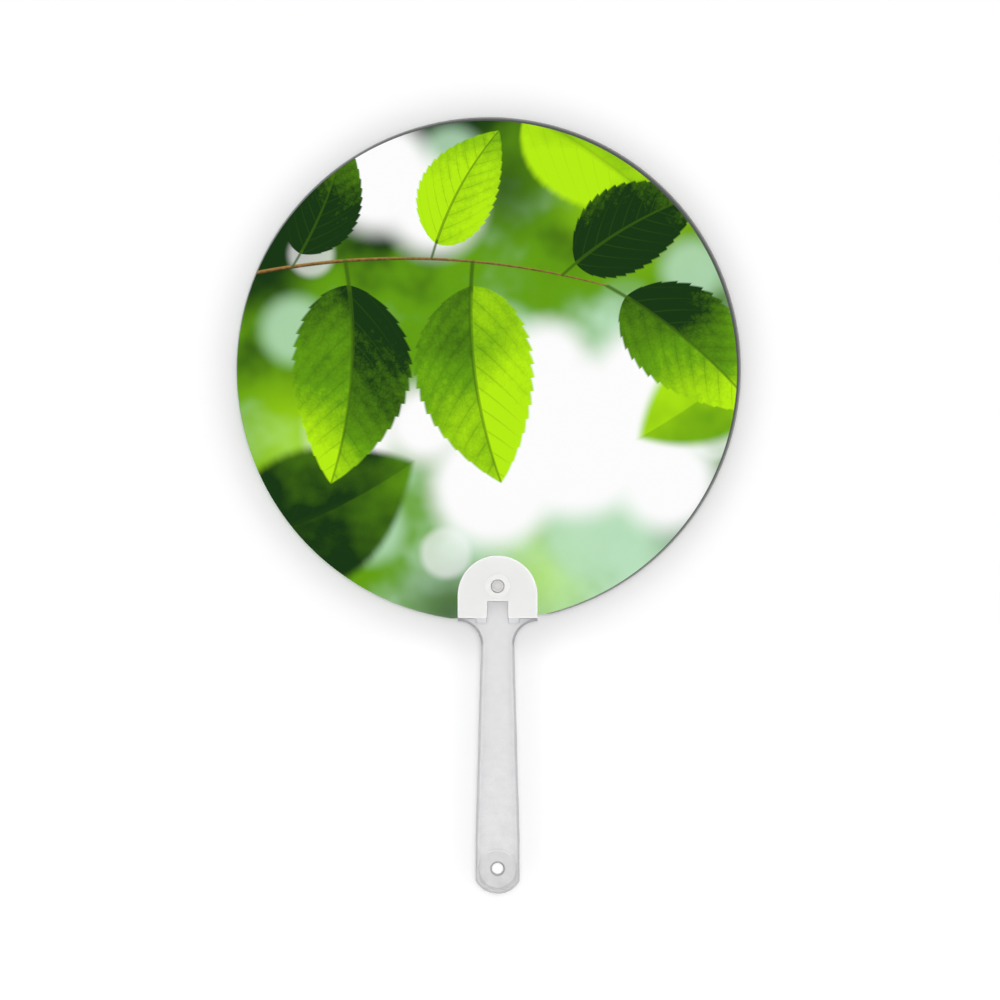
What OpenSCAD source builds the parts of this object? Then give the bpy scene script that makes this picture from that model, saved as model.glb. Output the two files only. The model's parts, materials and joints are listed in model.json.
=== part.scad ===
// A hand fan: a round printed card held in the clip of a flat moulded handle.
// It lies on its back, with +Z out of its front face and +Y up the blade.
// Places in the plane are measured from the axis of the peg that the blade hangs on.

/* [Blade] */
// Diameter of the round printed sheets
sheet_d = 200; // [170:1:240]
// How far the round of the sheets reaches below the peg
sheet_below = 13.7; // [13.2:0.1:15]
// How far the middle of the board lies from the middle of the sheets
board_shift = 0.9; // [0.1:0.05:1.2]
// Direction of that shift, in degrees from the right towards the top
shift_angle = 37; // [0:1:180]
// Thickness of the grey core board
board_t = 1; // [0.6:0.1:1.6]
// Thickness of each printed sheet that is glued to the board
sheet_t = 0.15; // [0.1:0.05:0.3]
// How far the blade can lean to either side, in degrees
lean = 2.8; // [1:0.1:4]

/* [Head] */
// Width of the head
head_w = 32; // [28:0.5:38]
// How far the centre of the head's round top lies below the peg
head_drop = 3.7; // [2:0.1:6]
// Thickness of the rear head plate
plate_t = 1.8; // [1.4:0.1:2.4]
// Thickness of the front flap
flap_t = 1.8; // [1.6:0.1:2.4]
// Distance from the peg to the flap's straight lower edge
flap_reach = 12.7; // [11.5:0.1:14]
// Width of the notch in the flap's lower edge
notch_w = 8.5; // [7:0.1:8.7]
// Distance from the peg to the top of the notch
notch_top = 5.9; // [5:0.1:7]
// Width of the raised ring round the flap's hole
ring_d = 9.6; // [8:0.1:11]
// Height of the ring above the flap's face
ring_h = 0.2; // [0.1:0.05:0.4]

/* [Peg] */
// Diameter of the peg
peg_d = 4.9; // [4:0.1:6]
// Diameter of the flat at the peg's tip
peg_tip_d = 2.2; // [1:0.1:3]
// Length of the cone that leads to the tip
peg_cone = 0.9; // [0.4:0.1:1.2]
// How far the tip lies below the flap's face
peg_sunk = 0.6; // [0.3:0.1:1]

/* [Hinge] */
// Length of each hinge web, from the flap to the shoulder
web_len = 2; // [1.8:0.1:3]
// Width of each hinge web
web_w = 4.2; // [3:0.1:4.6]
// Distance from the handle's middle line to the middle of each hinge web
web_x = 6.5; // [6.4:0.1:9]
// Thickness of the hinge webs
web_t = 0.35; // [0.25:0.05:0.5]

/* [Stem] */
// Distance from the peg to the middle of the hang hole
hole_reach = 112.9; // [90:0.1:140]
// Width of the stem where it leaves the shoulders
neck_w = 13.4; // [12:0.1:16]
// Width of the stem at its lower end
stem_w = 17.7; // [16:0.1:20]
// Length of the parallel stretch above the hang hole
parallel_len = 11.2; // [6:0.1:20]
// Radius of the round end about the hang hole
end_r = 10.1; // [10:0.1:12]
// How far the head's sides run on below the flap's lower edge
corner_drop = 1.3; // [1:0.1:3]
// How far the flap's face stands above the rim of the stem
flap_proud = 0.4; // [0.2:0.1:0.8]
// Width of the rim round the stem
rim_w = 1.2; // [0.8:0.1:2]
// Depth of the two panels below the rim
recess = 0.6; // [0.3:0.1:0.7]
// Chamfer on the outer edges of the head, the flap and the stem
chamfer = 0.4; // [0.2:0.05:0.6]

/* [Hang hole] */
// Diameter of the hang hole
hole_d = 4.4; // [3:0.1:5.4]
// Diameter of the cone at each mouth of the hang hole
mouth_d = 6; // [5:0.1:8]
// Depth of that cone
mouth_depth = 0.6; // [0.3:0.1:1]
// Diameter of the smooth pad round the hang hole
pad_d = 15; // [12:0.1:16]
// How far the pad stands above the panels
pad_h = 0.3; // [0.1:0.05:0.5]

/* [Clearances] */
// Gap between the blade and each of the two plates that hold it
blade_gap = 0.05; // [0.05:0.05:0.2]
// Gap round the peg in the blade's hole
pivot_gap = 0.1; // [0.05:0.05:0.3]
// Gap round the peg in the flap's hole
snap_gap = 0.35; // [0.2:0.05:0.6]
// Gap between the tongue and the sides of the flap's notch
tongue_gap = 0.25; // [0.15:0.05:0.5]
// Gap between the end of the tongue and the top of the flap's notch
tongue_end_gap = 0.3; // [0.2:0.05:0.6]
// Gap between the tongue and the top of the blade's notch
blade_notch_gap = 1; // [0.6:0.1:1.5]
// Gap left at the blade's edges when it leans as far as it can
stop_gap = 0.1; // [0.05:0.05:0.3]
// Gap between the flap's lower edge and the shoulder
hinge_gap = 0.25; // [0.15:0.05:0.4]
// Gap between the flap's lower edge and the start of the raised rim
rim_gap = 0.5; // [0.4:0.05:0.8]
// Gap at each side of a hinge web
web_gap = 0.2; // [0.1:0.05:0.4]

/* [Hidden] */
$fn = 96;

// How far a cutting shape runs past the surface that it cuts
over = 1;

// Heights above the surface that the fan lies on
rear_sheet_z = plate_t + blade_gap;
board_z = rear_sheet_z + sheet_t;
front_sheet_z = board_z + board_t;
flap_z = front_sheet_z + sheet_t + blade_gap;
face_z = flap_z + flap_t;
stem_t = face_z - flap_proud;
panel_z = stem_t - recess;
web_z = panel_z - web_t;
tip_z = face_z - peg_sunk;

// Places along the handle, from the peg
shoulder_y = -flap_reach - hinge_gap;
rim_y = -flap_reach - rim_gap;
corner_y = -flap_reach - corner_drop;
shoulder_r = (head_w - neck_w) / 2;
neck_y = corner_y - shoulder_r;
parallel_y = -hole_reach + parallel_len;
end_y = -hole_reach - end_r;
taper = atan((stem_w - neck_w) / 2 / (neck_y - parallel_y));

// The tongue fills the flap's notch and keeps the blade from swinging far
tongue_w = notch_w - 2 * tongue_gap;
tongue_top = notch_top + tongue_end_gap;

// The blade's flat, notch and hole, from the peg, for the lean that it is allowed
blade_flat = (-shoulder_y - stop_gap) * cos(lean) - head_w / 2 * sin(lean);
blade_notch_w = 2 * (tongue_w / 2 + stop_gap + blade_flat * sin(lean)) / cos(lean);
blade_notch_top = tongue_top - blade_notch_gap;
blade_hole_d = peg_d + 2 * pivot_gap;

// The sheets meet the board's edge on one side, and leave a crescent of it bare on the other
sheet_y = sheet_d / 2 - sheet_below;
board_d = sheet_d + 2 * board_shift;
board_x = board_shift * cos(shift_angle);
board_y = sheet_y + board_shift * sin(shift_angle);

// The middle of the whole fan as it lies, from the peg
mid_x = board_x * cos(lean) - board_y * sin(lean);
mid_y = (board_x * sin(lean) + board_y * cos(lean) + board_d / 2 + end_y) / 2;

// Puts the middle of the fan at the origin
module placed() {
    translate([-mid_x, -mid_y, 0]) children();
}

// Makes a shape on the right and its twin on the left
module both_sides() {
    for (side = [0, 1]) mirror([side, 0, 0]) children();
}

// The corner that a chamfer takes off, with the side at x = 0 and the face at y = 0
module corner_offcut() {
    polygon([[-chamfer - over, over], [over, over], [over, -chamfer - over]]);
}

// The offcut along a straight side that starts at a point and runs down the handle
module straight_offcut(x, y, length, turn = 0) {
    translate([x, y, 0]) rotate([0, 0, turn]) rotate([90, 0, 0])
        linear_extrude(length) corner_offcut();
}

// The offcut round the upper edge of the head, from its round top to its corners
module head_offcuts() {
    translate([0, -head_drop, 0]) rotate_extrude(angle = 180)
        translate([head_w / 2, 0]) corner_offcut();
    both_sides() straight_offcut(head_w / 2, -head_drop, -corner_y - head_drop);
}

// The offcut round the upper edge of the stem, its shoulders and its round end
module stem_offcuts() {
    both_sides() {
        translate([head_w / 2, neck_y, 0]) rotate([0, 0, 90])
            rotate_extrude(angle = 92) translate([shoulder_r, 0]) mirror([1, 0]) corner_offcut();
        // The tapered and the parallel offcut cross where they meet, so no sliver is left
        straight_offcut(neck_w / 2, neck_y, (neck_y - parallel_y) / cos(taper) + over, taper);
        straight_offcut(stem_w / 2, parallel_y + over, parallel_len + end_r + over);
    }
    translate([0, -hole_reach, 0]) rotate([0, 0, 180]) rotate_extrude(angle = 180)
        translate([end_r, 0]) corner_offcut();
}

// Outline of the head down to a given height
module head_outline(low_y) {
    translate([-head_w / 2, low_y]) square([head_w, -head_drop - low_y]);
    intersection() {
        translate([0, -head_drop]) circle(d = head_w);
        translate([-head_w / 2, low_y]) square(head_w);
    }
}

// Outline of the stem, drawn in from its edge by an inset
module stem_outline(inset) {
    top = neck_w / 2 - inset;
    low = stem_w / 2 - inset;
    intersection() {
        polygon([[-top, neck_y], [-low, parallel_y], [-low, end_y],
                 [low, end_y], [low, parallel_y], [top, neck_y]]);
        union() {
            translate([0, -hole_reach]) circle(r = end_r - inset);
            translate([-stem_w / 2, -hole_reach]) square([stem_w, hole_reach]);
        }
    }
}

// Outline of the shoulders, which sweep in from the head to the neck
module shoulder_outline(inset) {
    difference() {
        translate([-head_w / 2, neck_y]) square([head_w, shoulder_y - neck_y]);
        for (side = [-1, 1]) translate([side * head_w / 2, neck_y]) circle(r = shoulder_r + inset);
    }
}

// The hollow that a panel leaves inside the rim, up from its floor
module panel_hollow() {
    linear_extrude(recess + over) {
        difference() {
            stem_outline(rim_w);
            translate([0, -hole_reach]) circle(d = pad_d);
        }
        children();
    }
    translate([0, 0, pad_h]) linear_extrude(recess + over) intersection() {
        stem_outline(rim_w);
        translate([0, -hole_reach]) circle(d = pad_d);
    }
}

// The cone at one mouth of the hang hole, up from the pad's face
module hole_mouth() {
    flare = (mouth_d - hole_d) / mouth_depth;
    translate([0, -hole_reach, -mouth_depth])
        cylinder(h = mouth_depth + over, d1 = hole_d, d2 = mouth_d + flare * over);
}

// The upright peg that the blade turns on and the flap snaps over
module peg() {
    cylinder(h = tip_z - peg_cone, d = peg_d);
    translate([0, 0, tip_z - peg_cone]) cylinder(h = peg_cone, d1 = peg_d, d2 = peg_tip_d);
}

// The moulded handle: rear head plate, peg, tongue, shoulders and stem in one piece
module handle() {
    color([0.88, 0.88, 0.89]) placed() difference() {
        union() {
            linear_extrude(plate_t) head_outline(corner_y);
            linear_extrude(stem_t) shoulder_outline(0);
            linear_extrude(stem_t) stem_outline(0);
            translate([-tongue_w / 2, shoulder_y, 0])
                cube([tongue_w, -tongue_top - shoulder_y, panel_z]);
            peg();
        }
        // The front panel runs through the shoulders and on to the tongue
        translate([0, 0, panel_z]) panel_hollow() shoulder_outline(rim_w);
        translate([-head_w / 2, rim_y, panel_z])
            cube([head_w, shoulder_y - rim_y + over, recess + over]);
        // The rear panel has a round top in the neck
        translate([0, 0, recess]) mirror([0, 0, 1]) panel_hollow()
            translate([0, neck_y]) circle(d = neck_w - 2 * rim_w);
        // A pocket under each hinge web leaves it free to bend
        both_sides() translate([web_x - web_w / 2 - web_gap, -flap_reach - web_len, flap_z])
            cube([web_w + 2 * web_gap, web_len + over, stem_t]);
        translate([0, -hole_reach, -over]) cylinder(h = stem_t + 2 * over, d = hole_d);
        translate([0, 0, panel_z + pad_h]) hole_mouth();
        translate([0, 0, recess - pad_h]) mirror([0, 0, 1]) hole_mouth();
        translate([0, 0, stem_t]) stem_offcuts();
        mirror([0, 0, 1]) stem_offcuts();
        mirror([0, 0, 1]) head_offcuts();
    }
}

// One thin web of the living hinge, flush with the front panel
module hinge_web(side) {
    color([0.84, 0.84, 0.85]) placed()
        translate([side * web_x - web_w / 2, -flap_reach - web_len, web_z])
            cube([web_w, web_len, web_t]);
}

// The front flap: it swings up on its webs to let the blade in, and snaps over the peg
module front_flap() {
    color([0.93, 0.93, 0.92]) placed() difference() {
        union() {
            translate([0, 0, flap_z]) linear_extrude(flap_t) head_outline(-flap_reach);
            translate([0, 0, flap_z]) cylinder(h = flap_t + ring_h, d = ring_d);
        }
        translate([0, 0, flap_z - over])
            cylinder(h = flap_t + ring_h + 2 * over, d = peg_d + 2 * snap_gap);
        translate([-notch_w / 2, -flap_reach - over, flap_z - over])
            cube([notch_w, flap_reach + over - notch_top, flap_t + 2 * over]);
        translate([0, 0, face_z]) head_offcuts();
    }
}

// One layer of the blade, a disc with the hole, flat and notch that the clip needs
module blade_layer(z, thickness, centre, diameter) {
    placed() rotate([0, 0, lean]) translate([0, 0, z]) linear_extrude(thickness) difference() {
        translate(centre) circle(d = diameter);
        circle(d = blade_hole_d);
        translate([-diameter / 2, -blade_flat - diameter]) square(diameter);
        translate([-blade_notch_w / 2, -blade_notch_top - diameter])
            square([blade_notch_w, diameter]);
    }
}

// The stiff grey board in the middle of the blade
module core_board() {
    color([0.4, 0.4, 0.39]) blade_layer(board_z, board_t, [board_x, board_y], board_d);
}

// The printed sheet on the front of the board
module front_print() {
    color([0.55, 0.76, 0.14]) blade_layer(front_sheet_z, sheet_t, [0, sheet_y], sheet_d);
}

// The printed sheet on the back of the board
module rear_print() {
    color([0.45, 0.68, 0.16]) blade_layer(rear_sheet_z, sheet_t, [0, sheet_y], sheet_d);
}

handle();
hinge_web(-1);  // hinge_web_left
hinge_web(1);  // hinge_web_right
front_flap();
core_board();
front_print();
rear_print();
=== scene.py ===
"""A printed card fan in a clip handle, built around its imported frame.

Shapes are worked out in metres. Plan positions are measured from the axis of the peg that the blade
hangs on, and heights from the surface that the fan lies on.
"""

import json
import math

import bmesh
import bpy
import numpy as np
from bpy.props import FloatProperty, FloatVectorProperty, PointerProperty
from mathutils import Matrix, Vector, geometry


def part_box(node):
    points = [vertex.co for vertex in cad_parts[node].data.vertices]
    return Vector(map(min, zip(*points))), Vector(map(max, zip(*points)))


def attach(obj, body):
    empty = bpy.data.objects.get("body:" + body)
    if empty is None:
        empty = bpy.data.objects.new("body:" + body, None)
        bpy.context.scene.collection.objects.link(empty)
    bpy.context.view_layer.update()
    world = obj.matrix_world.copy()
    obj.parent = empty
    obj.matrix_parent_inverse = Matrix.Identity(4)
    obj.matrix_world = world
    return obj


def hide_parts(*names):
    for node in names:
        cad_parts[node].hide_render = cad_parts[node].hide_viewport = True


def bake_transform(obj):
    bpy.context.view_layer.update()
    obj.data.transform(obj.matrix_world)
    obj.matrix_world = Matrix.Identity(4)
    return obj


bl_info = {
    "name": "Round Card Fan",
    "version": (1, 0, 0),
    "blender": (4, 5, 0),
    "location": "3D View > Sidebar > Fan",
    "description": "Builds a printed card fan in a clip handle, piece by piece",
    "category": "Add Mesh",
}

MM = 0.001
SHARP_ANGLE = math.radians(35)
WELD_DISTANCE = 2e-7
PHOTO_PIXELS = 1000
PEG_PIXEL = (497.6, 586.2)

# The narrow strip of face that a rounding's grid takes in, so that the face beside it shades level
SUPPORT = 0.05 * MM

# How finely rounds are cut: a profile's corner, a corner and the shoulder in plan, and circles
PROFILE_SIDES = 5
CORNER_POINTS = 6
SHOULDER_POINTS = 40
PEG_POINTS = 64
HOLE_POINTS = 96

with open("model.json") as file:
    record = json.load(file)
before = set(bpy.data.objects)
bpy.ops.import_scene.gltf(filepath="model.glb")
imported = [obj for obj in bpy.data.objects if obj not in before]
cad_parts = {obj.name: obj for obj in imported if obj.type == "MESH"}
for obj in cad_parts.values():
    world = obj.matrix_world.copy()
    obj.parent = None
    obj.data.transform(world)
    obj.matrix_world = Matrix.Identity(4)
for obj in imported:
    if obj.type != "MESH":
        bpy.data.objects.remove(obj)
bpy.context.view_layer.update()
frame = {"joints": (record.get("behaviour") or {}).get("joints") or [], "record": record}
JOINTS = {joint["name"]: joint for joint in frame["joints"]}
MOUNTS = {mount["name"]: mount for mount in frame["record"]["mounts"]}
PEG = np.array([*JOINTS["blade_swivel"]["pos_m"][:2], 0])
HOLE_CENTRE = np.array(MOUNTS["hang_hole"]["pos_m"][:2]) - PEG[:2]
HOLE_RADIUS = MOUNTS["hang_hole"]["dims"]["r_mm"] * MM
LEAN = math.radians(-sum(JOINTS["blade_swivel"]["range_deg"]) / 2)


def box_from_peg(node):
    """Lowest and highest corner of a CAD node, in plan from the peg."""
    low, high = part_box(node)
    return np.array(low) - PEG, np.array(high) - PEG


def disc_of(low, high):
    """The centre and radius of a layer's disc, which reaches the top and both sides of its box."""
    radius = (high[0] - low[0]) / 2
    return np.array([(high[0] + low[0]) / 2, high[1] - radius]), radius


HANDLE_LOW, HANDLE_HIGH = box_from_peg("handle")
FLAP_LOW, FLAP_HIGH = box_from_peg("front_flap")
WEB_LOW, WEB_HIGH = box_from_peg("hinge_web_right")
SHEET_LOW, SHEET_HIGH = box_from_peg("front_print")
SHEET_CENTRE, SHEET_RADIUS = disc_of(SHEET_LOW, SHEET_HIGH)
BOARD_CENTRE, BOARD_RADIUS = disc_of(*box_from_peg("core_board"))
HEAD_RADIUS = FLAP_HIGH[0]
HEAD_CENTRE = np.array([0, FLAP_HIGH[1] - HEAD_RADIUS])


# Sizes and colours that a user would change

def length(name, description, millimetres):
    """A length property with its default in millimetres."""
    return FloatProperty(
        name=name, description=description, default=millimetres * MM,
        min=0, precision=5, subtype="DISTANCE", unit="LENGTH",
    )


def angle(name, description, degrees):
    """An angle property with its default in degrees."""
    return FloatProperty(
        name=name, description=description, default=math.radians(degrees),
        subtype="ANGLE", unit="ROTATION",
    )


def amount(name, description, default):
    """A plain number that is never negative."""
    return FloatProperty(name=name, description=description, default=default, min=0)


def linear(red, green, blue):
    """Linear colour of 8-bit screen values: a 2.4 power above the straight part near black."""
    screen = np.array([red, green, blue]) / 255
    curve = np.where(screen <= 0.04045, screen / 12.92, ((screen + 0.055) / 1.055) ** 2.4)
    return tuple(float(part) for part in curve)


def colour(name, description, red, green, blue):
    """A colour property with its default in 8-bit screen values."""
    return FloatVectorProperty(
        name=name, description=description, default=linear(red, green, blue),
        min=0, max=1, size=3, subtype="COLOR",
    )


class FanHandleSizes(bpy.types.PropertyGroup):
    neck_width: length("Neck width", "Width of the stem below the shoulders", 13.4)
    stem_width: length("Stem width", "Width of the stem at its lower end", 17.7)
    parallel_length: length("Parallel length", "Parallel stretch above the hang hole", 11.2)
    corner_drop: length("Corner drop", "How far the head's sides run below the flap", 1.3)
    hinge_gap: length("Hinge gap", "Gap between the flap's lower edge and the shoulder", 0.12)
    plate_thickness: length("Plate thickness", "Thickness of the rear head plate", 1.8)
    rim_width: length("Rim width", "Width of the rim round the stem", 1.2)
    rim_rise: length("Rim rise", "Length over which the rim rises at the shoulders", 0.45)
    edge_round: length("Edge round", "Rounding of the outer edges", 0.4)
    small_round: length("Small round", "Rounding of the inner edges", 0.12)
    web_gap: length("Web gap", "Gap at each side of a hinge web", 0.1)
    pad_diameter: length("Pad diameter", "Smooth pad round the hang hole", 15)
    pad_height: length("Pad height", "Height of the pad above the panels", 0.3)
    mouth_diameter: length("Mouth diameter", "Cone at each mouth of the hang hole", 6)
    mouth_depth: length("Mouth depth", "Depth of that cone", 0.6)
    peg_diameter: length("Peg diameter", "Diameter of the peg", 4.9)
    peg_tip_diameter: length("Peg tip diameter", "Flat at the tip of the peg", 2.2)
    peg_cone: length("Peg cone", "Length of the cone at the peg's tip", 0.6)
    peg_sunk: length("Peg sunk", "How far the tip lies below the top of the flap's ring", 0.7)
    tongue_width: length("Tongue width", "Width of the tongue in the flap's notch", 8.4)
    tongue_top: length("Tongue top", "Distance from the peg to the tongue's end", 5.97)


class FanFlapSizes(bpy.types.PropertyGroup):
    notch_width: length("Notch width", "Width of the notch in the lower edge", 8.5)
    notch_top: length("Notch top", "Distance from the peg to the notch's top", 5.9)
    corner_round: length("Corner round", "Rounding of the corners in plan", 0.5)
    edge_round: length("Edge round", "Rounding of the outer edge", 0.45)
    lower_round: length("Lower round", "Rounding along the lower edge and the notch", 0.16)
    small_round: length("Small round", "Rounding of the other edges", 0.12)
    hole_diameter: length("Hole diameter", "Hole over the peg", 5.6)
    ring_diameter: length("Ring diameter", "Raised ring round the hole", 9.6)
    ring_height: length("Ring height", "Height of the ring above the face", 0.2)
    web_thinning: length("Web thinning", "How far a hinge web thins at its middle", 0.12)


class FanBladeSizes(bpy.types.PropertyGroup):
    flat_reach: length("Flat reach", "Distance from the peg to the blade's flat", 12.02)
    notch_width: length("Notch width", "Width of the notch over the tongue", 9.38)
    notch_top: length("Notch top", "Distance from the peg to the notch's top", 5.2)
    hole_diameter: length("Hole diameter", "Hole that turns on the peg", 5.1)
    corner_round: length("Corner round", "Rounding of the cut corners in plan", 0.5)
    board_round: length("Board round", "Crushed edge of the board", 0.35)
    sheet_round: length("Sheet round", "Rounding of the printed sheets' edges", 0.05)


class FanColours(bpy.types.PropertyGroup):
    panel: colour("Panel", "Frosted plastic of the panels", 232, 232, 233)
    # Painted shade: crest, rim, wall and shoulder are darker tones for the rim's rounded edge, the
    # outer walls and the shoulders, where less light falls
    crest: colour("Crest", "Thick plastic along the inner edge of the rim", 208, 208, 209)
    rim: colour("Rim", "Thick plastic along the outer edge of the rim", 188, 188, 189)
    wall: colour("Wall", "Thick plastic of the outer walls", 166, 166, 168)
    shoulder: colour("Shoulder", "Thick plastic along the shoulders", 164, 164, 167)
    pad: colour("Pad", "Smooth plastic round the hang hole", 221, 221, 221)
    # Painted shade: the mouth of the hang hole and the tongue's end, under the top of the flap's notch,
    # are drawn darker, as recesses in shade
    mouth: colour("Mouth", "Plastic at the mouth of the hang hole", 168, 168, 168)
    tongue: colour("Tongue", "Plastic at the tongue's end", 226, 226, 227)
    peg: colour("Peg", "Plastic of the peg", 232, 230, 228)
    flap: colour("Flap", "White plastic of the flap", 238, 238, 237)
    # Painted shadow, partly: the board's own dark grey, bare at the blade's edge, stands in for the
    # blade's cast shadow there, and the paler tone at its very edge is that shadow's soft fade
    board: colour("Board", "Bare face of the board", 90, 92, 90)
    shadow_fade: colour("Fray", "Crushed pale fibres at the board's edge", 158, 159, 158)
    paper: colour("Paper", "Bare paper round the peg's hole", 236, 236, 232)
    deep: colour("Deep green", "Leaves in shade", 8, 48, 0)
    leaf: colour("Leaf green", "Leaves half lit from behind", 98, 158, 4)
    lime: colour("Lime green", "Leaves fully lit from behind", 181, 238, 5)
    mint: colour("Mint green", "Distant leaves", 186, 226, 190)
    twig: colour("Twig", "The lit side of the twig", 168, 132, 72)
    bark: colour("Bark", "The twig's shaded side", 62, 38, 14)


class FanStage(bpy.types.PropertyGroup):
    view_width: length("View width", "Width of the picture at the printed sheet", 400)
    camera_height: length("Camera height", "How far the camera stands above the sheet", 2000)
    floor_reach: length("Floor reach", "How far the floor reaches from the middle", 4000)
    floor_gap: length("Floor gap", "How far the floor lies below the fan", 0.1)
    key_strength: amount("Key strength", "Strength of the lamp from above", 0.8)
    key_height: angle("Key height", "How high that lamp stands", 84)
    key_turn: angle("Key turn", "Where that lamp stands, from the right towards the top", 45)
    key_width: angle("Key width", "How wide that lamp looks", 40)
    horizon: amount("Horizon", "Light from all round, low down", 2.6)
    overhead: amount("Overhead", "Light from all round, high up", 0.4)
    floor_glow: amount("Floor glow", "What the floor adds to its own white in the picture", 0.05)
    lower_glow: amount("Lower glow", "What it adds besides beside the stem", 0.06)
    hole_glow: amount("Hole glow", "The same where the hang hole shows the floor", 0.6)


# Shapes: paths in plan, profiles of distance and height, and the grids they make

def arc(centre, radius, start, end, count):
    """Points on a circle: the centre plus the radius along angles from start to end, in degrees."""
    turn = np.radians(np.linspace(start, end, count))
    return np.asarray(centre) + radius * np.stack([np.cos(turn), np.sin(turn)], axis=-1)


def ring(centre, radius, count):
    """A whole circle of points, without its last point again."""
    return arc(centre, radius, 0, 360, count + 1)[:-1]


def with_mirror(*parts):
    """A path in one or more parts that ends on the middle line, carried on along its mirror image."""
    path = np.concatenate(parts)
    return np.concatenate([path, path[-2::-1] * (-1, 1)])


def smooth(value):
    """Eases from 0 to 1 with level ends: three squares less two cubes of the clamped value."""
    value = np.clip(value, 0, 1)
    return value * value * (3 - 2 * value)


def inward(loop):
    """Mitred directions into a counter-clockwise loop.

    At each point the normals of its two sides are added and divided by one plus their dot product.
    """
    along = np.roll(loop, -1, axis=0) - loop
    along /= np.linalg.norm(along, axis=1, keepdims=True)
    after = np.stack([-along[:, 1], along[:, 0]], axis=1)
    before = np.roll(after, 1, axis=0)
    return (before + after) / (1 + np.sum(before * after, axis=1, keepdims=True))


def fillets(path, radius):
    """Rounds the corners between a path's ends, and gives the points of their arcs in a row.

    An arc's centre lies on the corner's bisector, radius over the sine of the half angle away, and
    its points turn evenly from one touching point to the other.
    """
    corners = path[1:-1]
    before = path[:-2] - corners
    after = path[2:] - corners
    before /= np.linalg.norm(before, axis=1, keepdims=True)
    after /= np.linalg.norm(after, axis=1, keepdims=True)
    half_angle = np.arccos(np.clip(np.sum(before * after, axis=1), -1, 1))[:, None] / 2
    middle = (before + after) / np.linalg.norm(before + after, axis=1, keepdims=True)
    centre = corners + middle * radius / np.sin(half_angle)
    touch = radius / np.tan(half_angle)
    first = (corners + before * touch - centre)[:, None]
    last = (corners + after * touch - centre)[:, None]
    part = np.linspace(0, 1, CORNER_POINTS)[None, :, None]
    sweep = (math.pi - 2 * half_angle)[:, :, None]
    turning = np.sin((1 - part) * sweep) * first + np.sin(part * sweep) * last
    return (centre[:, None] + turning / np.sin(sweep)).reshape(-1, 2)


def profile(*corners):
    """A profile through corners, each a distance, a height and how far along its sides it is rounded.

    A rounded corner becomes a quarter of an ellipse that touches both sides.
    """
    places = np.array([corner[:2] for corner in corners], float)
    turn = np.linspace(0, math.pi / 2, PROFILE_SIDES + 1)[:, None]
    points = [places[:1]]
    for before, place, after, (*_, cut) in zip(places, places[1:], places[2:], corners[1:]):
        if cut:
            start = (before - place) * cut / np.linalg.norm(before - place)
            end = (after - place) * cut / np.linalg.norm(after - place)
            points.append(place + start * (1 - np.sin(turn)) + end * (1 - np.cos(turn)))
        else:
            points.append(place[None])
    return np.concatenate([*points, places[-1:]])


def carried(path, direction, shape, scale=1.0, pivot=0.0):
    """Carries a profile along a path.

    Row i stands off the path by its distance times the direction, at its height. The scale, one
    number for each point of the path, draws the profile in towards distance 0 and the pivot height.
    """
    distance, height = np.asarray(shape, float).T
    scale = np.broadcast_to(scale, len(path))
    plan = path[None] + direction[None] * (distance[:, None] * scale[None])[..., None]
    rise = pivot + (height[:, None] - pivot) * scale[None]
    return np.concatenate([plan, rise[..., None]], axis=2)


def turned(centre, shape, count):
    """Turns a profile of radii and heights about an upright axis."""
    spokes = ring((0, 0), 1, count)
    return carried(np.broadcast_to(centre, spokes.shape), spokes, shape)


def inside(points, loops):
    """Tells which points lie inside an odd number of the loops, by counting crossed sides."""
    x, y = points[:, None, 0], points[:, None, 1]
    crossed = np.zeros(len(points), int)
    for loop in loops:
        start, end = loop, np.roll(loop, -1, axis=0)
        spans = (start[:, 1] > y) != (end[:, 1] > y)
        height = np.where(spans, end[:, 1] - start[:, 1], 1)
        side = start[:, 0] + (end[:, 0] - start[:, 0]) * (y - start[:, 1]) / height
        crossed += np.sum(spans & (x < side), axis=1)
    return crossed % 2 == 1


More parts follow.
